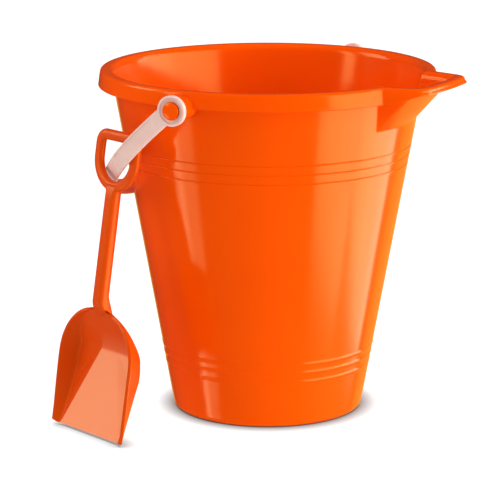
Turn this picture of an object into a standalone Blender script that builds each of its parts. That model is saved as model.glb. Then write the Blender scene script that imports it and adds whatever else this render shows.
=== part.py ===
"""Sand bucket with a hinged strap bail and a D-grip shovel threaded on it. Metres, +Z up."""
import math

import bmesh
import bpy
from mathutils import Matrix, Vector

MM = 0.001

# bucket
HEIGHT = 200.0
WALL_BASE_R = 55.16
WALL_TOP_R = 91.0
WALL = 2.0
FLOOR_Z = 3.2
RIM_OUT = 5.64
SKIRT_OUT = 6.98
SKIRT_WALL = 1.6
SKIRT_DROP = 9.36
SPOUT_DROP = 3.6
FLANGE = 2.0
GROOVES = (147.0, 152.4, 157.8)
RIDGES = (27.6, 33.2, 38.4)

# pouring spout, symmetric about +X
SPOUT_Z0 = 173.4
SPOUT_X = 108.0
SPOUT_BULGE = 0.9
SIDE_N = (0.262, 0.965)
SIDE_C = 51.48
CORNER_R = 4.0
SPOUT_FOOT_AZ = 17.0

# bail
PIVOT_Z = 191.2
BOW_Z = 192.17
BAIL_A = 109.2
BAIL_L = 105.4
BAIL_DROP = math.radians(39.41)
BAIL_POWER = 2.1
STRAP_W = 9.8
STRAP_T = 1.7
EYE_IN = 108.0
EYE_OUT = 110.6
EYE_R = 8.5
HOLE_R = 4.85

# shovel, local frame: X across, -Y out of the scoop, Z up the shaft
GRIP_CENTRE = (-47.59, -89.47, 155.25)
YAW = math.radians(-20.65)
LEAN = math.radians(9.41)
GRIP_HALF_W = 16.05
GRIP_H = 28.4
GRIP_CORNER = 6.0
BAR_IN_PLANE = 3.1
BAR_DEPTH = 2.35
TIP = -156.28
BLADE_TOP = 71.0
BLADE_HALF_W = 31.5
SHELL = 1.8


def clear_scene():
    for item in list(bpy.data.objects):
        bpy.data.objects.remove(item, do_unlink=True)


def collection(name):
    group = bpy.data.collections.new(name)
    bpy.context.scene.collection.children.link(group)
    return group


def material(name, colour, roughness):
    mat = bpy.data.materials.new(name)
    mat.use_nodes = True
    shader = mat.node_tree.nodes["Principled BSDF"]
    shader.inputs["Base Color"].default_value = (*colour, 1.0)
    shader.inputs["Roughness"].default_value = roughness
    shader.inputs["Metallic"].default_value = 0.0
    mat.diffuse_color = (*colour, 1.0)
    return mat


def mesh_object(name, verts, faces, group):
    mesh = bpy.data.meshes.new(name)
    mesh.from_pydata([Vector(v) * MM for v in verts], [], faces)
    obj = bpy.data.objects.new(name, mesh)
    group.objects.link(obj)
    return obj


def baked(obj, name, group):
    """Evaluated copy of obj with its modifiers and transform applied."""
    bpy.context.view_layer.update()
    graph = bpy.context.evaluated_depsgraph_get()
    mesh = bpy.data.meshes.new_from_object(obj.evaluated_get(graph))
    mesh.transform(obj.matrix_world)
    mesh.name = name
    result = bpy.data.objects.new(name, mesh)
    group.objects.link(result)
    work = bmesh.new()
    work.from_mesh(mesh)
    bmesh.ops.remove_doubles(work, verts=work.verts, dist=0.00001)
    bmesh.ops.recalc_face_normals(work, faces=work.faces)
    work.to_mesh(mesh)
    work.free()
    bpy.data.objects.remove(obj, do_unlink=True)
    return result


def boolean(target, tool, operation):
    mod = target.modifiers.new(tool.name, "BOOLEAN")
    mod.operation = operation
    mod.solver = "EXACT"
    mod.object = tool
    tool.hide_render = True
    tool.display_type = "WIRE"


def turned(name, profile, group, steps, closed=False):
    """Profile of (radius, height) spun about Z with a Screw modifier."""
    verts = [Vector((r, 0.0, z)) * MM for r, z in profile]
    edges = [(i, i + 1) for i in range(len(profile) - 1)]
    if closed:
        edges.append((len(profile) - 1, 0))
    mesh = bpy.data.meshes.new(name)
    mesh.from_pydata(verts, edges, [])
    obj = bpy.data.objects.new(name, mesh)
    group.objects.link(obj)
    mod = obj.modifiers.new("turn", "SCREW")
    mod.steps = steps
    mod.render_steps = steps
    mod.use_merge_vertices = True
    mod.merge_threshold = 0.0001
    return obj


def across(obj, side):
    """Turn a Z-axis piece so that it points along side * Y at the pivot height."""
    obj.rotation_euler = (-side * math.pi / 2, 0.0, 0.0)
    obj.location = (0.0, 0.0, PIVOT_Z * MM)


def wall_radius(z):
    return WALL_BASE_R + (WALL_TOP_R - WALL_BASE_R) * z / HEIGHT


def outline(offset):
    """Half outline of the mouth, from the spout's nose round to the back, at an offset."""
    corner_x = SPOUT_X - CORNER_R
    corner_y = (SIDE_C - CORNER_R - SIDE_N[0] * corner_x) / SIDE_N[1]
    points = []
    for i in range(5):
        y = corner_y * i / 4
        bulge = SPOUT_BULGE * (1 - (y / corner_y) ** 2)
        points.append((SPOUT_X + offset + bulge, y))
    side_angle = math.atan2(SIDE_N[1], SIDE_N[0])
    radius = CORNER_R + offset
    for i in range(1, 5):
        angle = side_angle * i / 4
        points.append((corner_x + radius * math.cos(angle), corner_y + radius * math.sin(angle)))
    circle = WALL_TOP_R + offset
    reach = SIDE_C + offset
    along = math.sqrt(circle ** 2 - reach ** 2)
    joint = (SIDE_N[0] * reach + SIDE_N[1] * along, SIDE_N[1] * reach - SIDE_N[0] * along)
    start = points[-1]
    for i in range(1, 4):
        share = i / 3
        points.append((start[0] + (joint[0] - start[0]) * share, start[1] + (joint[1] - start[1]) * share))
    first = math.atan2(joint[1], joint[0])
    for i in range(1, 29):
        angle = first + (math.pi - first) * i / 28
        points.append((circle * math.cos(angle), circle * math.sin(angle)))
    return points


SPOUT_COUNT = 12


def foot_azimuths():
    """Azimuth on the round wall that each half outline point comes down to."""
    angles = []
    for i in range(5):
        angles.append(math.radians(16.0) * i / 4)
    for i in range(1, 8):
        angles.append(math.radians(16.0 + (SPOUT_FOOT_AZ - 16.0) * i / 7))
    for point in outline(0.0)[SPOUT_COUNT:]:
        angles.append(math.atan2(point[1], point[0]))
    return angles


def mirrored(half, z_values):
    """Full ring of points from a half ring, mirrored across the XZ plane."""
    ring = [(x, y, z) for (x, y), z in zip(half, z_values)]
    back = [(x, -y, z) for x, y, z in reversed(ring[1:-1])]
    return ring + back


def round_row(radius, z):
    half = [(radius * math.cos(a), radius * math.sin(a)) for a in foot_azimuths()]
    return mirrored(half, [z] * len(half))


def mouth_row(offset, z_round, z_spout):
    """Row at the mouth whose height can differ along the spout."""
    half = outline(offset)
    heights = []
    for i in range(len(half)):
        share = min(max((i - 8) / 3, 0.0), 1.0)
        heights.append(z_spout + (z_round - z_spout) * share)
    return mirrored(half, heights)


def wall_row(offset, z):
    """Row on the wall between the spout's foot and the mouth."""
    share = (z - SPOUT_Z0) / (HEIGHT - SPOUT_Z0)
    top = outline(offset)
    foot_r = wall_radius(SPOUT_Z0) + offset
    half = []
    for i, angle in enumerate(foot_azimuths()):
        if i < SPOUT_COUNT:
            foot = (foot_r * math.cos(angle), foot_r * math.sin(angle))
            half.append((foot[0] + (top[i][0] - foot[0]) * share, foot[1] + (top[i][1] - foot[1]) * share))
        else:
            radius = wall_radius(z) + offset
            azimuth = math.atan2(top[i][1], top[i][0])
            half.append((radius * math.cos(azimuth), radius * math.sin(azimuth)))
    return mirrored(half, [z] * len(half))


def outer_rows():
    rows = [round_row(12.5, 0.0), round_row(13.3, 1.2), round_row(46.2, 1.2), round_row(47.0, 0.0)]
    rows += [round_row(52.4, 0.0), round_row(54.4, 0.9), round_row(wall_radius(3.0), 3.0)]
    for z in RIDGES:
        rows.append(round_row(wall_radius(z - 1.6), z - 1.6))
        rows.append(round_row(wall_radius(z) + 0.5, z))
        rows.append(round_row(wall_radius(z + 1.6), z + 1.6))
    for z in GROOVES:
        rows.append(round_row(wall_radius(z - 0.6), z - 0.6))
        rows.append(round_row(wall_radius(z) - 0.5, z))
        rows.append(round_row(wall_radius(z + 0.6), z + 0.6))
    for z in (SPOUT_Z0, 182.0, 190.0, HEIGHT - FLANGE):
        rows.append(wall_row(0.0, z))
    return rows


def rim_rows():
    foot_round = HEIGHT - SKIRT_DROP
    foot_spout = HEIGHT - SPOUT_DROP
    under = HEIGHT - FLANGE
    return [
        mouth_row(RIM_OUT - SKIRT_WALL + 0.2, under, under),
        mouth_row(SKIRT_OUT - SKIRT_WALL, foot_round, foot_spout),
        mouth_row(SKIRT_OUT, foot_round, foot_spout),
        mouth_row(RIM_OUT + 0.25, HEIGHT - 1.2, HEIGHT - 1.0),
        mouth_row(RIM_OUT - 0.7, HEIGHT, HEIGHT),
        mouth_row(0.2, HEIGHT, HEIGHT),
        mouth_row(-1.5, HEIGHT - 0.6, HEIGHT - 0.6),
    ]


def inner_rows():
    rows = [wall_row(-WALL, z) for z in (HEIGHT - FLANGE, 190.0, 182.0, SPOUT_Z0)]
    for z in (130.0, 90.0, 50.0, 20.0):
        rows.append(round_row(wall_radius(z) - WALL, z))
    base = wall_radius(FLOOR_Z) - WALL
    rows += [round_row(base, FLOOR_Z + 3.6), round_row(base - 1.3, FLOOR_Z + 1.0)]
    rows += [round_row(base - 4.0, FLOOR_Z), round_row(20.0, FLOOR_Z)]
    return rows


def build_bucket(parts, tools):
    rows = outer_rows() + rim_rows() + inner_rows()
    count = len(rows[0])
    verts = [point for row in rows for point in row]
    faces = []
    for r in range(len(rows) - 1):
        for i in range(count):
            j = (i + 1) % count
            faces.append((r * count + i, r * count + j, (r + 1) * count + j, (r + 1) * count + i))
    faces.append(tuple(reversed(range(count))))
    last = (len(rows) - 1) * count
    faces.append(tuple(last + i for i in range(count)))
    shell = mesh_object("bucket_shell", verts, faces, tools)
    shell = baked(shell, "bucket_shell", tools)
    for side in (-1, 1):
        head, shoulder = EYE_OUT + 0.35, EYE_IN - 0.4
        profile = [(0.0, head + 1.4), (2.4, head + 1.2), (4.2, head + 0.7), (5.15, head), (4.5, head)]
        profile += [(4.5, shoulder), (5.4, shoulder), (6.2, 98.6), (6.6, 96.8), (6.6, 90.2), (0.0, 90.2)]
        stud = turned("stud", profile, tools, 28)
        across(stud, side)
        stud = baked(stud, "stud_%d" % side, tools)
        boolean(shell, stud, "UNION")
    return baked(shell, "bucket_body", parts)


def bow(theta, offset):
    """Point of the bail's bow in its own plane: along the pivot axis, and away from it."""
    power = 2.0 / BAIL_POWER

    def raw(angle):
        c, s = math.cos(angle), math.sin(angle)
        return Vector((BAIL_A * math.copysign(abs(c) ** power, c), BAIL_L * abs(s) ** power))

    step = 0.01
    ahead, behind = raw(min(theta + step, math.pi)), raw(max(theta - step, 0.0))
    tangent = (ahead - behind).normalized()
    return raw(theta) + Vector((tangent.y, -tangent.x)) * offset


def flat_band(name, inner, outer, start, stop, half_width, group, steps=64):
    """Strip between two offsets of the bow, extruded as a filled flat outline."""
    angles = [start + (stop - start) * i / steps for i in range(steps + 1)]
    points = [bow(a, outer) for a in angles] + [bow(a, inner) for a in reversed(angles)]
    curve = bpy.data.curves.new(name, "CURVE")
    curve.dimensions = "2D"
    curve.fill_mode = "BOTH"
    curve.extrude = half_width * MM
    spline = curve.splines.new("POLY")
    spline.points.add(len(points) - 1)
    for point, place in zip(spline.points, points):
        point.co = (place.x * MM, place.y * MM, 0.0, 1.0)
    spline.use_cyclic_u = True
    obj = bpy.data.objects.new(name, curve)
    group.objects.link(obj)
    away = Vector((-math.cos(BAIL_DROP), 0.0, -math.sin(BAIL_DROP)))
    along = Vector((0.0, -1.0, 0.0))
    turn = Matrix((along, away, along.cross(away))).transposed().to_4x4()
    obj.matrix_world = Matrix.Translation((0.0, 0.0, BOW_Z * MM)) @ turn
    return baked(obj, name, group)


def build_bail(parts, tools):
    start = math.radians(3.4)
    strap = flat_band("strap", -STRAP_T / 2, STRAP_T / 2, start, math.pi - start, STRAP_W / 2, tools, 72)
    near, far, groove = math.radians(10.0), math.radians(31.5), math.radians(33.0)
    for k, (a, b) in enumerate(((near, far), (math.pi - far, math.pi - near))):
        cut = flat_band("arm_recess_%d" % k, 0.35, 3.0, a, b, STRAP_W / 2 - 1.0, tools, 16)
        boolean(strap, cut, "DIFFERENCE")
    for k, a in enumerate((groove, math.pi - groove)):
        cut = flat_band("cross_groove_%d" % k, 0.35, 3.0, a - 0.007, a + 0.007, STRAP_W, tools, 2)
        boolean(strap, cut, "DIFFERENCE")
    strap = baked(strap, "strap_cut", tools)
    for side in (-1, 1):
        profile = [(HOLE_R, EYE_OUT), (5.8, EYE_OUT), (6.0, EYE_OUT - 0.8), (7.0, EYE_OUT - 0.8)]
        profile += [(7.2, EYE_OUT), (8.1, EYE_OUT), (EYE_R, EYE_OUT - 0.4), (EYE_R, EYE_IN), (HOLE_R, EYE_IN)]
        ring = turned("eye", profile, tools, 32, closed=True)
        across(ring, side)
        ring = baked(ring, "eye_%d" % side, tools)
        boolean(strap, ring, "UNION")
    hole_cuts = []
    strap = baked(strap, "strap_eyes", tools)
    for side in (-1, 1):
        drill = turned("drill", [(0.0, 120.0), (HOLE_R, 120.0), (HOLE_R, 95.0), (0.0, 95.0)], tools, 32)
        across(drill, side)
        hole_cuts.append(baked(drill, "drill_%d" % side, tools))
    for drill in hole_cuts:
        boolean(strap, drill, "DIFFERENCE")
    strap = baked(strap, "bail_handle", parts)
    strap.data.transform(Matrix.Translation((0.0, 0.0, -PIVOT_Z * MM)))
    strap.location = (0.0, 0.0, PIVOT_Z * MM)
    return strap


def grip_points():
    """Closed D loop in the shovel's XZ plane, flat bar on top, round below."""
    low = -GRIP_H / 2 + GRIP_HALF_W
    top = GRIP_H / 2
    points = []
    for i in range(17):
        angle = math.pi + math.pi * i / 16
        points.append((GRIP_HALF_W * math.cos(angle), low + GRIP_HALF_W * math.sin(angle)))
    for i in range(6):
        angle = math.pi / 2 * i / 5
        x = GRIP_HALF_W - GRIP_CORNER + GRIP_CORNER * math.cos(angle)
        points.append((x, top - GRIP_CORNER + GRIP_CORNER * math.sin(angle)))
    for i in range(6):
        angle = math.pi / 2 + math.pi / 2 * i / 5
        x = -GRIP_HALF_W + GRIP_CORNER + GRIP_CORNER * math.cos(angle)
        points.append((x, top - GRIP_CORNER + GRIP_CORNER * math.sin(angle)))
    return points


def build_grip(tools):
    curve = bpy.data.curves.new("grip_loop", "CURVE")
    curve.dimensions = "3D"
    curve.bevel_depth = BAR_IN_PLANE * MM
    curve.bevel_resolution = 3
    spline = curve.splines.new("POLY")
    points = grip_points()
    spline.points.add(len(points) - 1)
    for point, (x, z) in zip(spline.points, points):
        point.co = (x * MM, 0.0, z * MM, 1.0)
    spline.use_cyclic_u = True
    obj = bpy.data.objects.new("grip_loop", curve)
    tools.objects.link(obj)
    obj.scale = (1.0, BAR_DEPTH / BAR_IN_PLANE, 1.0)
    return baked(obj, "grip_loop", tools)


def rounded_box(name, low, high, radius, group):
    verts = [(x, y, z) for x in (low[0], high[0]) for y in (low[1], high[1]) for z in (low[2], high[2])]
    faces = [(0, 1, 3, 2), (4, 6, 7, 5), (0, 4, 5, 1), (2, 3, 7, 6), (0, 2, 6, 4), (1, 5, 7, 3)]
    box = mesh_object(name, verts, faces, group)
    mod = box.modifiers.new("round", "BEVEL")
    mod.width = radius * MM
    mod.segments = 3
    return baked(box, name, group)


def blade_half_width(z):
    if z <= 42.0:
        return BLADE_HALF_W
    share = (z - 42.0) / (BLADE_TOP + 0.4 - 42.0)
    return BLADE_HALF_W * math.sqrt(max(1.0 - share ** 2.2, 0.0))


def floor_depth(z):
    ramp = (BLADE_TOP - z) * 0.48 + 0.2
    return min(3.0 + 0.155 * z, ramp)


def blade_rows():
    rows = []
    for z in (0.0, 8.0, 16.0, 24.0, 32.0, 40.0, 46.0, 51.0, 55.0, 59.0, 62.5, 65.5, 68.0, 70.0, BLADE_TOP):
        half = blade_half_width(z)
        depth = floor_depth(z)
        slope = 0.74 + 0.0125 * z
        crease = max(half - depth / slope, half * 0.25)
        depth = min(depth, (half - crease) * slope)
        row = [(-half, 0.0), (-(half * 0.35 + crease * 0.65), depth * 0.72), (-crease, depth)]
        row += [(-crease * 0.5, depth), (0.0, depth), (crease * 0.5, depth), (crease, depth)]
        row += [(half * 0.35 + crease * 0.65, depth * 0.72), (half, 0.0)]
        rows.append([(x, y, TIP + z) for x, y in row])
    return rows


def build_blade(tools):
    rows = blade_rows()
    count = len(rows[0])
    verts = [point for row in rows for point in row]
    faces = []
    for r in range(len(rows) - 1):
        for i in range(count - 1):
            faces.append((r * count + i, r * count + i + 1, (r + 1) * count + i + 1, (r + 1) * count + i))
    blade = mesh_object("blade", verts, faces, tools)
    mod = blade.modifiers.new("shell", "SOLIDIFY")
    mod.thickness = SHELL * MM
    mod.offset = -1.0
    mod.use_even_offset = True
    return baked(blade, "blade", tools)


def build_shovel(parts, tools):
    shaft = rounded_box("shaft", (-4.5, -3.75, TIP + 66.0), (4.5, 3.75, -GRIP_H / 2 + 1.0), 2.2, tools)
    verts = [(x, y, TIP + z) for x in (-4.2, 4.2) for y, z in ((0.0, 84.0), (3.4, 80.0), (8.6, 62.0), (2.6, 63.0))]
    faces = [(0, 1, 2, 3), (7, 6, 5, 4), (0, 4, 5, 1), (1, 5, 6, 2), (2, 6, 7, 3), (3, 7, 4, 0)]
    gusset = baked(mesh_object("gusset", verts, faces, tools), "gusset", tools)
    for tool in (build_blade(tools), gusset, build_grip(tools)):
        boolean(shaft, tool, "UNION")
    shovel = baked(shaft, "sand_shovel", parts)
    shovel.location = Vector(GRIP_CENTRE) * MM
    shovel.rotation_euler = (-LEAN, 0.0, YAW)
    return shovel


def main():
    clear_scene()
    parts = collection("sand_bucket")
    tools = collection("cutters")
    bucket = build_bucket(parts, tools)
    bail = build_bail(parts, tools)
    shovel = build_shovel(parts, tools)
    bucket.data.materials.clear()
    bail.data.materials.clear()
    shovel.data.materials.clear()
    bucket.data.materials.append(material("bucket_orange", (0.95, 0.16, 0.005), 0.28))
    bail.data.materials.append(material("bail_translucent", (0.78, 0.62, 0.56), 0.4))
    shovel.data.materials.append(material("shovel_orange", (0.90, 0.13, 0.004), 0.35))
    for item in list(tools.objects):
        item.hide_render = True
        item.display_type = "WIRE"


main()
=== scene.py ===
"""Sand bucket, strap bail and D-grip shovel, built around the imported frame. Metres, +Z up."""
import math

import bmesh
import bpy
from mathutils import Matrix, Vector


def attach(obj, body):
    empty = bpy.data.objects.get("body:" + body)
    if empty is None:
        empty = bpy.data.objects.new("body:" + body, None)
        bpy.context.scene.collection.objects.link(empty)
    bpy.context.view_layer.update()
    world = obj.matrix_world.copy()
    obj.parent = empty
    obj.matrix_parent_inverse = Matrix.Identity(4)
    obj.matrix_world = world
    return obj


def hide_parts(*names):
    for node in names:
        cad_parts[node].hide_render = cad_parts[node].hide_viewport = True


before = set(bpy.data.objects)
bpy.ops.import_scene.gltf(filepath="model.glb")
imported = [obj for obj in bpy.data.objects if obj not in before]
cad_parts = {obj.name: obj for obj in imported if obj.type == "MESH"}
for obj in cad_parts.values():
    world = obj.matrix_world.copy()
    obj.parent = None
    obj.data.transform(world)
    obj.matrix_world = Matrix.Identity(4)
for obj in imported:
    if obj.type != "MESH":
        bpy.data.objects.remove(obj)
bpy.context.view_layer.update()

MM = 0.001
WHITE = (1.0, 1.0, 1.0)

# camera and light panels; an azimuth of 0 is the camera's side, positive to its right
CAMERA_TURN = math.radians(28.5)
CAMERA_LENS = 190.27
CAMERA_BACK = 1.50908
CAMERA_UP = 0.4403
CAMERA_DOWN_TILT = 0.227
CAMERA_SIDE_TILT = 0.0069
UPPER_PANELS = 4
UPPER_STEP = 0.13
WARM_WHITE = (1.0, 0.96, 0.80)
WARM_BOUNCE = (1.0, 0.72, 0.10)

# bucket
HEIGHT = 200.0
WALL_BASE_R = 55.16
WALL_TOP_R = 91.0
WALL = 2.0
FLOOR_Z = 3.2
SKIRT_OUT = 6.98
SKIRT_WALL = 1.6
SKIRT_DROP = 9.36
SPOUT_DROP = 3.6
FLANGE = 2.0
GROOVES = (147.0, 152.4, 157.8)
RIDGES = (27.6, 33.2, 38.4)
SPOUT_Z0 = 173.4
SPOUT_X = 108.0
SPOUT_BULGE = 0.9
SIDE_N = (0.262, 0.965)
SIDE_C = 51.48
CORNER_R = 4.0
NOTCH_R = 1.6

# bail
PIVOT_Z = 191.2
BOW_Z = 192.17
BAIL_A = 109.2
BAIL_L = 105.4
BAIL_DROP = math.radians(39.41)
BAIL_POWER = 2.1
STRAP_W = 10.1
STRAP_T = 1.7
EYE_IN = 108.0
EYE_OUT = 110.6
EYE_R = 8.5
HOLE_R = 4.85

# shovel
GRIP_CENTRE = (-47.59, -89.47, 155.25)
YAW = math.radians(-20.65)
LEAN = math.radians(9.41)
GRIP_HALF_W = 16.05
GRIP_H = 28.4
GRIP_CORNER = 4.6
BAR_IN_PLANE = 3.1
BAR_DEPTH = 2.35
TIP = -156.28
BLADE_TOP = 71.0
BLADE_HALF_W = 31.5
BLADE_STRAIGHT = 42.0
SHELL = 1.8
PLATE_HALF_W = 28.0
PLATE_TAPER = 0.43
PLATE_DEPTH = 3.0
PLATE_SLOPE = 0.155


# ---------------------------------------------------------------- mesh helpers
def mesh_piece(name, verts, faces, smooth=True):
    mesh = bpy.data.meshes.new(name)
    mesh.from_pydata([Vector(v) * MM for v in verts], [], faces)
    work = bmesh.new()
    work.from_mesh(mesh)
    bmesh.ops.remove_doubles(work, verts=work.verts, dist=0.000005)
    bmesh.ops.recalc_face_normals(work, faces=work.faces)
    work.to_mesh(mesh)
    work.free()
    if smooth:
        mesh.polygons.foreach_set("use_smooth", [True] * len(mesh.polygons))
    obj = bpy.data.objects.new(name, mesh)
    bpy.context.scene.collection.objects.link(obj)
    return obj


def loft(name, rows, closed_ends=True):
    """Skin over closed rows that all have the same number of points."""
    count = len(rows[0])
    verts = [point for row in rows for point in row]
    faces = []
    for r in range(len(rows) - 1):
        for i in range(count):
            j = (i + 1) % count
            faces.append((r * count + i, r * count + j, (r + 1) * count + j, (r + 1) * count + i))
    if closed_ends:
        faces.append(tuple(reversed(range(count))))
        last = (len(rows) - 1) * count
        faces.append(tuple(last + i for i in range(count)))
    return mesh_piece(name, verts, faces)


def turned(name, profile, steps, side, closed=False):
    """Profile of (radius, distance) spun about the pivot axis on one side of the bucket."""
    rows = []
    for k in range(steps):
        angle = 2 * math.pi * k / steps
        c, s = math.cos(angle), math.sin(angle)
        rows.append([(r * c, side * y, PIVOT_Z + r * s) for r, y in profile])
    rows.append(rows[0])
    count = len(profile)
    verts = [point for row in rows for point in row]
    faces = []
    for r in range(len(rows) - 1):
        for i in range(count if closed else count - 1):
            j = (i + 1) % count
            faces.append((r * count + i, r * count + j, (r + 1) * count + j, (r + 1) * count + i))
    return mesh_piece(name, verts, faces)


def rounded(points, radius, segments=4, closed=False):
    """Profile with each inner corner replaced by a small arc."""
    result = []
    count = len(points)
    for i, here in enumerate(points):
        if not closed and i in (0, count - 1):
            result.append(here)
            continue
        before, after = Vector(points[i - 1]), Vector(points[(i + 1) % count])
        corner = Vector(here)
        back, ahead = before - corner, after - corner
        reach = min(radius, back.length * 0.45, ahead.length * 0.45)
        start, end = corner + back.normalized() * reach, corner + ahead.normalized() * reach
        for k in range(segments + 1):
            t = k / segments
            point = start * (1 - t) ** 2 + corner * 2 * t * (1 - t) + end * t ** 2
            result.append((point.x, point.y))
    return result


# ---------------------------------------------------------------- bucket
FRONT, ARC, SIDE, NOTCH, ROUND = 14, 8, 8, 5, 116
SPOUT_COUNT = FRONT + 1 + ARC + SIDE + NOTCH


def wall_radius(z):
    """Outer radius of the tapered wall."""
    return WALL_BASE_R + (WALL_TOP_R - WALL_BASE_R) * z / HEIGHT


def outline(offset):
    """Half outline of the mouth at an offset, from the spout's nose round to the back."""
    corner_x = SPOUT_X - CORNER_R
    corner_y = (SIDE_C - CORNER_R - SIDE_N[0] * corner_x) / SIDE_N[1]
    points = []
    for i in range(FRONT + 1):
        y = corner_y * i / FRONT
        points.append((SPOUT_X + offset + SPOUT_BULGE * (1 - (y / corner_y) ** 2), y))
    side_angle = math.atan2(SIDE_N[1], SIDE_N[0])
    radius = CORNER_R + offset
    for i in range(1, ARC + 1):
        angle = side_angle * i / ARC
        points.append((corner_x + radius * math.cos(angle), corner_y + radius * math.sin(angle)))
    circle = WALL_TOP_R + offset
    reach = SIDE_C + offset
    far, near = circle + NOTCH_R, reach + NOTCH_R
    along = math.sqrt(far ** 2 - near ** 2)
    centre = Vector((SIDE_N[0] * near + SIDE_N[1] * along, SIDE_N[1] * near - SIDE_N[0] * along))
    on_side = centre - Vector(SIDE_N) * NOTCH_R
    on_round = centre * (circle / far)
    start = Vector(points[-1])
    for i in range(1, SIDE + 1):
        point = start.lerp(on_side, i / SIDE)
        points.append((point.x, point.y))
    a0 = math.atan2(on_side.y - centre.y, on_side.x - centre.x)
    a1 = math.atan2(on_round.y - centre.y, on_round.x - centre.x)
    turn = (a1 - a0 + math.pi) % (2 * math.pi) - math.pi
    for i in range(1, NOTCH + 1):
        angle = a0 + turn * i / NOTCH
        points.append((centre.x + NOTCH_R * math.cos(angle), centre.y + NOTCH_R * math.sin(angle)))
    first = math.atan2(on_round.y, on_round.x)
    for i in range(1, ROUND + 1):
        angle = first + (math.pi - first) * i / ROUND
        points.append((circle * math.cos(angle), circle * math.sin(angle)))
    return points


BASE_OUTLINE = outline(0.0)


def foot_azimuths():
    angles = [math.radians(16.0) * i / FRONT for i in range(FRONT + 1)]
    rest = ARC + SIDE + NOTCH
    angles += [math.radians(16.0 + 1.6 * i / rest) for i in range(1, rest + 1)]
    angles += [math.atan2(y, x) for x, y in BASE_OUTLINE[SPOUT_COUNT:]]
    return angles


FOOT = foot_azimuths()


def mirrored(half, heights):
    ring = [(x, y, z) for (x, y), z in zip(half, heights)]
    return ring + [(x, -y, z) for x, y, z in reversed(ring[1:-1])]


def round_row(radius, z):
    return mirrored([(radius * math.cos(a), radius * math.sin(a)) for a in FOOT], [z] * len(FOOT))


def mouth_row(offset, z_round, z_spout):
    half = outline(offset)
    heights = []
    for i in range(len(half)):
        share = min(max((i - FRONT - ARC * 0.5) / (SIDE + ARC * 0.5), 0.0), 1.0)
        share = share * share * (3 - 2 * share)
        heights.append(z_spout + (z_round - z_spout) * share)
    return mirrored(half, heights)


def wall_row(offset, z):
    share = (z - SPOUT_Z0) / (HEIGHT - SPOUT_Z0)
    top = outline(offset)
    foot_r = wall_radius(SPOUT_Z0) + offset
    half = []
    for i, angle in enumerate(FOOT):
        if i < SPOUT_COUNT:
            foot = Vector((foot_r * math.cos(angle), foot_r * math.sin(angle)))
            point = foot.lerp(Vector(top[i]), share)
            half.append((point.x, point.y))
        else:
            radius = wall_radius(z) + offset
            azimuth = math.atan2(top[i][1], top[i][0])
            half.append((radius * math.cos(azimuth), radius * math.sin(azimuth)))
    return mirrored(half, [z] * len(half))


def bump_rows(z, height, width, steps=6):
    """Rows over a small ring-shaped ridge or groove on the outer wall."""
    guard = width + 0.45
    rows = [round_row(wall_radius(z - guard), z - guard)]
    for k in range(-steps, steps + 1):
        share = k / steps
        lift = height * (0.5 + 0.5 * math.cos(math.pi * share))
        rows.append(round_row(wall_radius(z + width * share) + lift, z + width * share))
    rows.append(round_row(wall_radius(z + guard), z + guard))
    return rows


def outer_rows():
    rows = [round_row(0.4, 0.0), round_row(12.3, 0.0), round_row(12.7, 0.2), round_row(13.0, 1.0)]
    rows += [round_row(13.4, 1.2), round_row(46.0, 1.2), round_row(46.5, 0.9)]
    rows.append(round_row(46.8, 0.2))
    rows += [round_row(47.2, 0.0), round_row(52.2, 0.0)]
    for k in range(1, 7):
        angle = math.pi / 2 * k / 6
        rows.append(round_row(52.3 + 3.3 * math.sin(angle), 3.0 - 3.0 * math.cos(angle)))
    rows += [round_row(wall_radius(z), z) for z in (8.0, 18.0, 25.0)]
    for z in RIDGES:
        rows += bump_rows(z, 0.2, 1.3)
    rows += [round_row(wall_radius(z), z) for z in (50.0, 75.0, 100.0, 125.0, 144.0)]
    for z in GROOVES:
        rows += bump_rows(z, -0.26, 0.36, 4)
    rows += [round_row(wall_radius(z), z) for z in (161.0, 168.0, SPOUT_Z0 - 0.7)]
    upper = (SPOUT_Z0, 174.2, 178.0, 183.0, 188.0, 193.0, 196.5, HEIGHT - FLANGE)
    return rows + [wall_row(0.0, z) for z in upper]


def rim_rows():
    """Flange underside, skirt, rounded top edge and inner lip."""
    drop = HEIGHT - SKIRT_DROP
    lip = HEIGHT - SPOUT_DROP
    under = HEIGHT - FLANGE
    profile = [
        (0.5, under, under), (2.0, under, under), (3.6, under, under),
        (4.3, under - 0.6, under - 0.3),
        (SKIRT_OUT - SKIRT_WALL - 0.05, drop + 0.5, lip + 0.4),
        (SKIRT_OUT - SKIRT_WALL + 0.15, drop + 0.12, lip + 0.1),
        (SKIRT_OUT - SKIRT_WALL + 0.45, drop, lip), (SKIRT_OUT - 0.4, drop, lip),
        (SKIRT_OUT - 0.1, drop + 0.12, lip + 0.1), (SKIRT_OUT, drop + 0.5, lip + 0.4),
        (6.7, drop + 2.2, lip + 0.8), (6.3, drop + 5.2, lip + 1.3),
        (5.95, HEIGHT - 1.9, HEIGHT - 1.8), (5.85, HEIGHT - 1.4, HEIGHT - 1.35),
    ]
    flat = ((5.6, 0.75), (5.1, 0.25), (4.4, 0.0), (2.6, 0.0), (0.9, 0.0), (0.0, 0.12),
            (-0.9, 0.55), (-1.5, 1.2))
    profile += [(offset, HEIGHT - fall, HEIGHT - fall) for offset, fall in flat]
    return [mouth_row(offset, z_round, z_spout) for offset, z_round, z_spout in profile]


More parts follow.
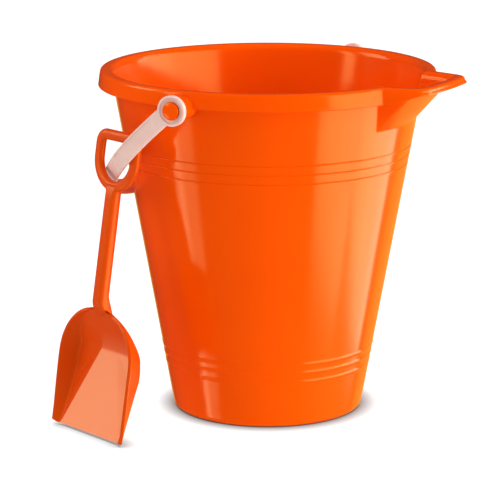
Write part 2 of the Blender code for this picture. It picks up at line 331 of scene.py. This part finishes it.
def inner_rows():
    heights = (HEIGHT - 2.2, 196.0, 193.0, 188.0, 183.0, 178.0, 174.2, SPOUT_Z0)
    rows = [wall_row(-WALL, z) for z in heights]
    for z in (SPOUT_Z0 - 0.7, 168.0, 150.0, 120.0, 90.0, 60.0, 30.0, 12.0):
        rows.append(round_row(wall_radius(z) - WALL, z))
    base = wall_radius(FLOOR_Z) - WALL
    for k in range(7):
        angle = math.pi / 2 * k / 6
        radius = base - 4.0 + 4.0 * math.cos(angle)
        rows.append(round_row(radius, FLOOR_Z + 4.0 - 4.0 * math.sin(angle)))
    rows += [round_row(30.0, FLOOR_Z), round_row(0.4, FLOOR_Z)]
    return rows


def build_bucket():
    body = loft("bucket_shell", outer_rows() + rim_rows() + inner_rows())
    studs = []
    for side in (-1, 1):
        head, shoulder = EYE_OUT + 0.35, EYE_IN - 0.4
        profile = [(0.0, head + 1.1), (1.8, head + 1.05), (3.2, head + 0.9), (4.2, head + 0.65)]
        profile += [(4.75, head + 0.4), (5.0, head + 0.15), (5.05, head), (4.5, head)]
        profile.append((4.5, shoulder))
        barrel = [(4.5, shoulder), (5.4, shoulder), (6.1, 98.6), (6.5, 96.8), (6.5, 90.6)]
        profile += rounded(barrel, 0.4)[1:]
        profile.append((0.0, 90.6))
        stud = turned("pivot_stud_near" if side < 0 else "pivot_stud_far", profile, 96, side)
        studs.append(stud)
    return body, studs


# ---------------------------------------------------------------- bail
def bow_raw(angle):
    power = 2.0 / BAIL_POWER
    c, s = math.cos(angle), math.sin(angle)
    return Vector((BAIL_A * math.copysign(abs(c) ** power, c), BAIL_L * abs(s) ** power))


def bow_frame(angle):
    ahead, behind = bow_raw(min(angle + 0.01, math.pi)), bow_raw(max(angle - 0.01, 0.0))
    tangent = (ahead - behind).normalized()
    return bow_raw(angle), Vector((tangent.y, -tangent.x))


def bail_space(point, width):
    """Point of the bail's plane and a distance across the band, to the world."""
    away = Vector((-math.cos(BAIL_DROP), 0.0, -math.sin(BAIL_DROP)))
    up = Vector((-math.sin(BAIL_DROP), 0.0, math.cos(BAIL_DROP)))
    place = Vector((0.0, -1.0, 0.0)) * point.x + away * point.y + up * width
    return place + Vector((0.0, 0.0, BOW_Z))


def smooth_step(low, high, value):
    share = min(max((value - low) / (high - low), 0.0), 1.0)
    return share * share * (3 - 2 * share)


def strap_section(angle):
    """Closed section of the strap: (out, across) pairs; arms are recessed between edge beads."""
    degrees = math.degrees(min(angle, math.pi - angle))
    deep = 0.65
    recess = deep * smooth_step(7.0, 8.5, degrees) * (1 - smooth_step(31.0, 32.0, degrees))
    cross_groove = 0.6 * math.exp(-((degrees - 33.0) / 0.32) ** 2)
    half_w, half_t = STRAP_W / 2, STRAP_T / 2
    bead = 0.75
    outer = [(-half_w + 0.05, -0.32), (-half_w + 0.16, -0.10), (-half_w + 0.35, 0.0)]
    outer += [(-half_w + bead * 0.75, 0.0), (-half_w + bead, -0.12 * recess / deep)]
    outer.append((-half_w + bead + 0.1, -recess * 0.85))
    outer += [(-half_w + bead + 0.25, -recess), (-1.6, -recess), (0.0, -recess)]
    outer += [(-w, lift) for w, lift in reversed(outer[:-1])]
    section = [(half_t + lift - cross_groove, w) for w, lift in outer]
    section += [(-half_t + 0.32, half_w), (-half_t + 0.1, half_w - 0.1), (-half_t, half_w - 0.35)]
    section += [(-half_t, 0.0), (-half_t, -half_w + 0.35), (-half_t + 0.1, -half_w + 0.1)]
    section.append((-half_t + 0.32, -half_w))
    return section


def build_bail():
    start = math.radians(3.6)
    angles = []
    count = 220
    for k in range(count + 1):
        angles.append(start + (math.pi - 2 * start) * k / count)
    for base in (10.0, 31.5, 33.0):
        for step in (-0.75, -0.5, -0.25, 0.0, 0.25, 0.5, 0.75):
            angles += [math.radians(base + step), math.pi - math.radians(base + step)]
    angles = sorted(set(round(a, 6) for a in angles))
    rows = []
    for angle in angles:
        point, normal = bow_frame(angle)
        section = strap_section(angle)
        rows.append([bail_space(point + normal * out, across) for out, across in section])
    strap = loft("bail_strap", rows)
    rings = []
    for side in (-1, 1):
        profile = [(HOLE_R + 0.15, EYE_OUT - 0.95), (7.1, EYE_OUT - 0.95), (7.3, EYE_OUT)]
        profile += [(EYE_R, EYE_OUT), (EYE_R, EYE_IN), (HOLE_R, EYE_IN), (HOLE_R, EYE_OUT - 1.1)]
        profile = rounded(profile, 0.3, 4, closed=True)
        name = "bail_eye_near" if side < 0 else "bail_eye_far"
        rings.append(turned(name, profile, 96, side, closed=True))
    return strap, rings


# ---------------------------------------------------------------- shovel
def shovel_matrix():
    turn = Matrix.Rotation(YAW, 4, "Z") @ Matrix.Rotation(-LEAN, 4, "X")
    return Matrix.Translation(Vector(GRIP_CENTRE) * MM) @ turn


def grip_path():
    low = -GRIP_H / 2 + GRIP_HALF_W
    top = GRIP_H / 2
    path = []
    for i in range(64):
        angle = math.pi + math.pi * i / 64
        path.append((GRIP_HALF_W * math.cos(angle), low + GRIP_HALF_W * math.sin(angle)))
    for z in (low, low + 2.5, low + 5.0):
        if z < top - GRIP_CORNER:
            path.append((GRIP_HALF_W, z))
    for i in range(11):
        angle = math.pi / 2 * i / 10
        x = GRIP_HALF_W - GRIP_CORNER + GRIP_CORNER * math.cos(angle)
        path.append((x, top - GRIP_CORNER + GRIP_CORNER * math.sin(angle)))
    for i in range(1, 6):
        path.append(((GRIP_HALF_W - GRIP_CORNER) * (1 - 2 * i / 6), top))
    for i in range(11):
        angle = math.pi / 2 + math.pi / 2 * i / 10
        x = -GRIP_HALF_W + GRIP_CORNER + GRIP_CORNER * math.cos(angle)
        path.append((x, top - GRIP_CORNER + GRIP_CORNER * math.sin(angle)))
    return path


def build_grip():
    path = grip_path()
    count = len(path)
    rows = []
    for i in range(count + 1):
        here = Vector(path[i % count])
        tangent = (Vector(path[(i + 1) % count]) - Vector(path[(i - 1) % count])).normalized()
        normal = Vector((tangent.y, -tangent.x))
        row = []
        for k in range(24):
            angle = 2 * math.pi * k / 24
            c, s = math.cos(angle), math.sin(angle)
            c = math.copysign(abs(c) ** 0.8, c)
            s = math.copysign(abs(s) ** 0.8, s)
            place = here + normal * (BAR_IN_PLANE * c)
            row.append((place.x, BAR_DEPTH * s, place.y))
        rows.append(row)
    return loft("shovel_grip", rows, closed_ends=False)


def shaft_row(z, half_x, front, back, radius):
    """Rounded rectangle section of the shaft."""
    row = []
    left, right = -half_x + radius, half_x - radius
    near, far = front + radius, back - radius
    for cx, cy, start in ((right, far, 0.0), (left, far, 90.0), (left, near, 180.0),
                          (right, near, 270.0)):
        for k in range(7):
            angle = math.radians(start + 15.0 * k)
            row.append((cx + radius * math.cos(angle), cy + radius * math.sin(angle), z))
    return row


def build_shaft():
    top = -GRIP_H / 2 + 1.2
    rows = [shaft_row(top, 5.6, -2.3, 2.3, 1.6), shaft_row(top - 2.0, 5.2, -2.7, 2.7, 1.9)]
    rows += [shaft_row(top - 4.5, 4.7, -3.3, 3.3, 2.8), shaft_row(top - 8.0, 4.5, -3.7, 3.7, 3.1)]
    for z in (-40.0, -60.0, TIP + 84.0, TIP + 80.0):
        rows.append(shaft_row(z, 4.5, -3.75, 3.75, 3.1))
    rows += [shaft_row(TIP + 76.5, 4.5, -3.7, 5.0, 3.0), shaft_row(TIP + 74.0, 4.6, -2.9, 6.0, 2.8)]
    rows += [shaft_row(TIP + 71.5, 4.8, -1.3, 6.6, 2.2), shaft_row(TIP + 69.5, 4.9, 0.3, 7.0, 1.6)]
    rows += [shaft_row(TIP + 66.5, 4.9, 3.0, 7.4, 1.2), shaft_row(TIP + 63.5, 4.6, 4.6, 8.0, 1.0)]
    return loft("shovel_shaft", rows)


def blade_half_width(z):
    """Half width of the blade at a height above its tip."""
    if z <= BLADE_STRAIGHT:
        return BLADE_HALF_W
    share = (z - BLADE_STRAIGHT) / (BLADE_TOP + 0.4 - BLADE_STRAIGHT)
    return BLADE_HALF_W * math.sqrt(max(1.0 - share ** 2.2, 0.0))


def soft_min(a, b, width):
    """Smaller of two values, blended where they are close."""
    h = max(width - abs(a - b), 0.0) / width
    return min(a, b) - h * h * width * 0.25


def blade_depth(x, z):
    """Depth behind the rim plane: steep walls, a bowl, a raised flat plate and a back ramp."""
    inward = blade_half_width(z) - abs(x)
    bowl = min(3.0 + 0.21 * z, 10.6)
    slope = bowl / 4.2 if z < 40.0 else bowl / 4.2 - (z - 40.0) / 31.0 * 1.5
    plate_edge = max(PLATE_HALF_W - PLATE_TAPER * z, 0.0)
    arch = max(27.5 * math.sqrt(max(1 - (z / 50.0) ** 2, 0.0)), plate_edge + 0.4)
    plate = min(PLATE_DEPTH + PLATE_SLOPE * z, bowl)
    across = min(max((abs(x) - plate_edge) / (arch - plate_edge), 0.0), 1.0)
    ground = plate + (bowl - plate) * across
    ramp = (BLADE_TOP - z) * 0.48 + 0.1
    depth = soft_min(ground, ramp, 1.2)
    return max(soft_min(depth, inward * slope, 1.6), 0.0)


def build_blade():
    rows_z = [BLADE_TOP * (1 - (1 - k / 84) ** 1.15) for k in range(85)]
    columns = 90
    front = []
    for z in rows_z:
        half = blade_half_width(z)
        for c in range(columns + 1):
            share = -1 + 2 * c / columns
            share = math.copysign(abs(share) ** 0.8, share)
            x = half * share
            depth = blade_depth(x, z)
            corner_lift = 2.0 * (1.0 - min(depth / 3.0, 1.0)) * max(1.0 - z / 8.0, 0.0)
            floor_lift = (depth * math.sin(LEAN) + 0.3) * (z < 1.0)
            front.append((x, depth, TIP + z + max(corner_lift, floor_lift)))
    step = columns + 1
    faces = []
    for r in range(len(rows_z) - 1):
        for c in range(columns):
            here, above = r * step + c, (r + 1) * step + c
            faces.append((here, here + 1, above + 1, above))
    blade = mesh_piece("shovel_blade", front, faces)
    mesh = blade.data
    if sum(p.normal.y for p in mesh.polygons) > 0:
        mesh.flip_normals()
    shell = blade.modifiers.new("shell", "SOLIDIFY")
    shell.thickness = SHELL * MM
    shell.offset = -1.0
    shell.use_even_offset = True
    edge = blade.modifiers.new("edge", "BEVEL")
    edge.width = 0.5 * MM
    edge.segments = 3
    edge.limit_method = "ANGLE"
    edge.angle_limit = math.radians(50)
    return blade


# ---------------------------------------------------------------- materials
def new_material(name):
    mat = bpy.data.materials.new(name)
    mat.use_nodes = True
    nodes = mat.node_tree.nodes
    return mat, nodes, mat.node_tree.links, nodes["Principled BSDF"]


def colour_noise(nodes, links, scale, low, high, detail=3.0):
    """Object-space noise ramped between two colours."""
    where = nodes.new("ShaderNodeTexCoord")
    noise = nodes.new("ShaderNodeTexNoise")
    noise.inputs["Scale"].default_value = scale
    noise.inputs["Detail"].default_value = detail
    links.new(where.outputs["Object"], noise.inputs["Vector"])
    ramp = nodes.new("ShaderNodeValToRGB")
    ramp.color_ramp.elements[0].position = 0.3
    ramp.color_ramp.elements[0].color = (*low, 1.0)
    ramp.color_ramp.elements[1].position = 0.7
    ramp.color_ramp.elements[1].color = (*high, 1.0)
    links.new(noise.outputs["Fac"], ramp.inputs["Fac"])
    return where, ramp


def moulded_plastic(name, low, high, roughness, grain_scale, grain, glow, tint):
    """Glossy moulded plastic: slight colour drift, uneven gloss, fine grain and some depth."""
    mat, nodes, links, shader = new_material(name)
    where, ramp = colour_noise(nodes, links, 9.0, low, high)
    links.new(ramp.outputs["Color"], shader.inputs["Base Color"])
    shader.inputs["Subsurface Weight"].default_value = glow
    shader.inputs["Subsurface Radius"].default_value = (1.0, 0.35, 0.05)
    shader.inputs["Subsurface Scale"].default_value = 0.004
    shader.inputs["IOR"].default_value = 1.5
    shader.inputs["Specular Tint"].default_value = (*tint, 1.0)
    rough_noise = nodes.new("ShaderNodeTexNoise")
    rough_noise.inputs["Scale"].default_value = 40.0
    rough_noise.inputs["Detail"].default_value = 4.0
    links.new(where.outputs["Object"], rough_noise.inputs["Vector"])
    spread = nodes.new("ShaderNodeMapRange")
    spread.inputs["To Min"].default_value = roughness * 0.85
    spread.inputs["To Max"].default_value = roughness * 1.2
    links.new(rough_noise.outputs["Fac"], spread.inputs["Value"])
    links.new(spread.outputs["Result"], shader.inputs["Roughness"])
    fine = nodes.new("ShaderNodeTexNoise")
    fine.inputs["Scale"].default_value = grain_scale
    fine.inputs["Detail"].default_value = 2.0
    links.new(where.outputs["Object"], fine.inputs["Vector"])
    bump = nodes.new("ShaderNodeBump")
    bump.inputs["Strength"].default_value = grain
    bump.inputs["Distance"].default_value = 0.0002
    links.new(fine.outputs["Fac"], bump.inputs["Height"])
    links.new(bump.outputs["Normal"], shader.inputs["Normal"])
    return mat


def matt_plate_with_painted_sheen(mat, colour, roughness):
    """Paler, duller skin on the blade's plate: the duller gloss is its matt finish, the paler
    colour a painted sheen; on the +X side it runs on to the wall.
    """
    nodes, links = mat.node_tree.nodes, mat.node_tree.links
    shader = nodes["Principled BSDF"]
    where = nodes.new("ShaderNodeTexCoord")
    split = nodes.new("ShaderNodeSeparateXYZ")
    links.new(where.outputs["Object"], split.inputs["Vector"])

    def calc(operation, first, second, third=None):
        node = nodes.new("ShaderNodeMath")
        node.operation = operation
        for socket, value in zip(node.inputs, (first, second, third)):
            if isinstance(value, float):
                socket.default_value = value
            elif value is not None:
                links.new(value, socket)
        return node.outputs["Value"]

    def ramp_up(value, low, high):
        node = nodes.new("ShaderNodeMapRange")
        node.inputs["From Min"].default_value = low
        node.inputs["From Max"].default_value = high
        links.new(value, node.inputs["Value"])
        return node.outputs["Result"]

    above_tip = calc("ADD", split.outputs["Z"], -TIP * MM)
    edge = calc("MULTIPLY_ADD", above_tip, -PLATE_TAPER, PLATE_HALF_W * MM)
    left = ramp_up(calc("ADD", edge, split.outputs["X"]), 0.0002, 0.0008)
    right = ramp_up(calc("MULTIPLY", split.outputs["X"], -1.0), -0.0274, -0.0268)
    past_edge = calc("SUBTRACT", split.outputs["X"], edge)
    beyond = calc("MAXIMUM", calc("MULTIPLY", past_edge, 0.25), 0.0)
    deeper = calc("MINIMUM", beyond, calc("MULTIPLY", above_tip, 0.055))
    plate = calc("MULTIPLY_ADD", above_tip, PLATE_SLOPE, (PLATE_DEPTH + 0.9) * MM)
    face = calc("ADD", plate, deeper)
    inner = ramp_up(calc("SUBTRACT", face, split.outputs["Y"]), 0.0, 0.0003)
    below = calc("MULTIPLY", above_tip, -1.0)
    hard = calc("MULTIPLY", ramp_up(below, -0.0492, -0.0476), 0.72)
    soft = calc("MULTIPLY", ramp_up(below, -0.060, -0.047), 0.28)
    upward = calc("MULTIPLY", inner, calc("ADD", hard, soft))
    share = calc("MULTIPLY", calc("MULTIPLY", left, right), upward)
    # painted sheen: the paler colour mixed over the plate where the mask is on
    painted_sheen = nodes.new("ShaderNodeMix")
    painted_sheen.data_type = "RGBA"
    links.new(share, painted_sheen.inputs["Factor"])
    links.new(shader.inputs["Base Color"].links[0].from_socket, painted_sheen.inputs["A"])
    painted_sheen.inputs["B"].default_value = (*colour, 1.0)
    links.new(painted_sheen.outputs["Result"], shader.inputs["Base Color"])
    dull = nodes.new("ShaderNodeMix")
    links.new(share, dull.inputs["Factor"])
    links.new(shader.inputs["Roughness"].links[0].from_socket, dull.inputs["A"])
    dull.inputs["B"].default_value = roughness
    links.new(dull.outputs["Result"], shader.inputs["Roughness"])


def strap_plastic():
    mat, nodes, links, shader = new_material("strap_plastic")
    # pink base colour: the strap's own pale tone plus painted orange light showing through it
    where, ramp = colour_noise(nodes, links, 60.0, (0.75, 0.52, 0.45), (0.83, 0.59, 0.52))
    links.new(ramp.outputs["Color"], shader.inputs["Base Color"])
    shader.inputs["Subsurface Weight"].default_value = 0.35
    shader.inputs["Subsurface Radius"].default_value = (1.0, 0.7, 0.55)
    shader.inputs["Subsurface Scale"].default_value = 0.003
    rough = nodes.new("ShaderNodeTexNoise")
    rough.inputs["Scale"].default_value = 220.0
    links.new(where.outputs["Object"], rough.inputs["Vector"])
    spread = nodes.new("ShaderNodeMapRange")
    spread.inputs["To Min"].default_value = 0.32
    spread.inputs["To Max"].default_value = 0.48
    links.new(rough.outputs["Fac"], spread.inputs["Value"])
    links.new(spread.outputs["Result"], shader.inputs["Roughness"])
    bump = nodes.new("ShaderNodeBump")
    bump.inputs["Strength"].default_value = 0.12
    bump.inputs["Distance"].default_value = 0.0002
    links.new(rough.outputs["Fac"], bump.inputs["Height"])
    links.new(bump.outputs["Normal"], shader.inputs["Normal"])
    return mat


def floor_material():
    """White paper that glows like a lit sweep; in narrow gaps under the object ambient occlusion
    dims the glow as a painted contact shadow.
    """
    mat, nodes, links, shader = new_material("floor_paper")
    _, ramp = colour_noise(nodes, links, 6.0, (0.13, 0.17, 0.18), (0.15, 0.19, 0.20))
    links.new(ramp.outputs["Color"], shader.inputs["Base Color"])
    shader.inputs["Roughness"].default_value = 0.8
    shader.inputs["Specular IOR Level"].default_value = 0.1
    shader.inputs["Emission Color"].default_value = (1.0, 1.0, 1.0, 1.0)
    # painted contact shadow: the glow fades where ambient occlusion finds the object close by
    painted_contact_shadow = nodes.new("ShaderNodeAmbientOcclusion")
    painted_contact_shadow.samples = 16
    painted_contact_shadow.inputs["Distance"].default_value = 0.014
    glow = nodes.new("ShaderNodeMapRange")
    glow.inputs["From Min"].default_value = 0.30
    glow.inputs["From Max"].default_value = 0.92
    glow.inputs["To Min"].default_value = 0.0
    glow.inputs["To Max"].default_value = 1.0
    links.new(painted_contact_shadow.outputs["AO"], glow.inputs["Value"])
    links.new(glow.outputs["Result"], shader.inputs["Emission Strength"])
    return mat


# ---------------------------------------------------------------- stage
def camera_space(x, y, z):
    """A place given as right, away from the camera, up, turned to the object's frame."""
    c, s = math.cos(CAMERA_TURN), math.sin(CAMERA_TURN)
    return Vector((x * c - y * s, x * s + y * c, z))


def area_light(name, place, target, size_x, size_y, power, colour=WHITE):
    data = bpy.data.lights.new(name, "AREA")
    data.shape = "RECTANGLE"
    data.size = size_x
    data.size_y = size_y
    data.energy = power
    data.color = colour
    obj = bpy.data.objects.new(name, data)
    obj.location = place
    obj.rotation_euler = (Vector(target) - place).to_track_quat("-Z", "Y").to_euler()
    bpy.context.scene.collection.objects.link(obj)
    return obj


def build_stage():
    data = bpy.data.cameras.new("camera")
    data.lens = CAMERA_LENS
    data.sensor_width = 36.0
    data.clip_end = 20.0
    camera = bpy.data.objects.new("camera", data)
    camera.location = camera_space(0.0, -CAMERA_BACK, CAMERA_UP)
    tilt, turn = math.pi / 2 - CAMERA_DOWN_TILT, CAMERA_TURN + CAMERA_SIDE_TILT
    camera.rotation_euler = (tilt, 0.0, turn)
    bpy.context.scene.collection.objects.link(camera)
    bpy.context.scene.camera = camera
    floor = mesh_piece("floor", [(-4000, -4000, -0.05), (4000, -4000, -0.05), (4000, 4000, -0.05),
                                 (-4000, 4000, -0.05)], [(0, 1, 2, 3)])
    floor.data.materials.append(floor_material())
    floor.visible_glossy = False
    floor.visible_diffuse = False
    build_world()
    bpy.context.scene.view_settings.view_transform = "Standard"
    panel("right_front", 58.0, 1.7, 0.21, 1.1, 2.28, 3.2)
    panel("right_side", 98.5, 1.7, 0.30, 1.36, 2.2, 3.8, WARM_WHITE)
    for step in range(UPPER_PANELS):
        height = -0.36 + UPPER_STEP * step
        panel("right_upper_%d" % step, 74.0, 1.65, height, 1.7, 1.0, 0.85)
    panel("left_gloss", -79.0, 1.5, -0.60, 0.20, 0.78, 3.8)
    panel("left_fade", -68.5, 1.5, -0.60, 0.34, 0.78, 1.8)
    panel("left_high", -96.0, 1.5, 0.88, 0.65, 0.9, 4.0)
    panel("left_inner", -68.0, 1.5, 0.82, 0.26, 0.9, 4.5)
    panel("back_low", 165.0, 2.2, -0.9, 3.0, 1.3, 0.7, WARM_BOUNCE)
    top = area_light("top_box", camera_space(0.0, -0.5, 1.9), (0.0, 0.0, 0.1), 1.6, 1.0, 12.0)
    top.visible_glossy = False


def build_world():
    """Soft light, stronger from below the horizon, and nearly dark in the gloss."""
    world = bpy.data.worlds.new("studio")
    world.use_nodes = True
    nodes, links = world.node_tree.nodes, world.node_tree.links
    back = nodes["Background"]
    path = nodes.new("ShaderNodeLightPath")
    spread = nodes.new("ShaderNodeMapRange")
    where = nodes.new("ShaderNodeTexCoord")
    split = nodes.new("ShaderNodeSeparateXYZ")
    links.new(where.outputs["Generated"], split.inputs["Vector"])
    height = nodes.new("ShaderNodeMapRange")
    height.inputs["From Min"].default_value = -0.15
    height.inputs["From Max"].default_value = 0.10
    height.inputs["To Min"].default_value = 1.15
    height.inputs["To Max"].default_value = 0.46
    links.new(split.outputs["Z"], height.inputs["Value"])
    links.new(height.outputs["Result"], spread.inputs["To Min"])
    spread.inputs["To Max"].default_value = 0.03
    links.new(path.outputs["Is Glossy Ray"], spread.inputs["Value"])
    links.new(spread.outputs["Result"], back.inputs["Strength"])
    back.inputs["Color"].default_value = (1.0, 1.0, 1.0, 1.0)
    bpy.context.scene.world = world


def panel(name, azimuth, distance, height, width, tall, radiance, colour=WHITE):
    """Upright light panel; azimuth 0 is the camera's side, positive to the right."""
    angle = math.radians(azimuth)
    place = camera_space(distance * math.sin(angle), -distance * math.cos(angle), height)
    power = radiance * math.pi * width * tall
    return area_light(name, place, (0.0, 0.0, height), width, tall, power, colour)


# ---------------------------------------------------------------- assembly
def dress(piece, material, body):
    piece.data.materials.clear()
    piece.data.materials.append(material)
    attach(piece, body)


def main():
    orange = moulded_plastic("bucket_plastic", (0.89, 0.075, 0.0), (0.95, 0.086, 0.0), 0.14,
                             900.0, 0.04, 0.12, (1.0, 0.74, 0.18))
    red_orange = moulded_plastic("shovel_plastic", (0.66, 0.050, 0.0), (0.73, 0.059, 0.0), 0.34,
                                 1400.0, 0.10, 0.05, (1.0, 0.70, 0.15))
    # the plate's paler colour is a painted sheen; its higher roughness is the matt finish
    matt_plate_with_painted_sheen(red_orange, (0.92, 0.272, 0.125), 0.55)
    white = strap_plastic()
    body, studs = build_bucket()
    for piece in [body] + studs:
        dress(piece, orange, "bucket")
    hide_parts("bucket_body")
    strap, rings = build_bail()
    for piece in [strap] + rings:
        dress(piece, white, "bail")
    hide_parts("bail_handle")
    blade, shaft, grip = build_blade(), build_shaft(), build_grip()
    for piece in (blade, shaft, grip):
        piece.matrix_world = shovel_matrix()
        dress(piece, red_orange, "shovel")
    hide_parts("sand_shovel")
    build_stage()


main()
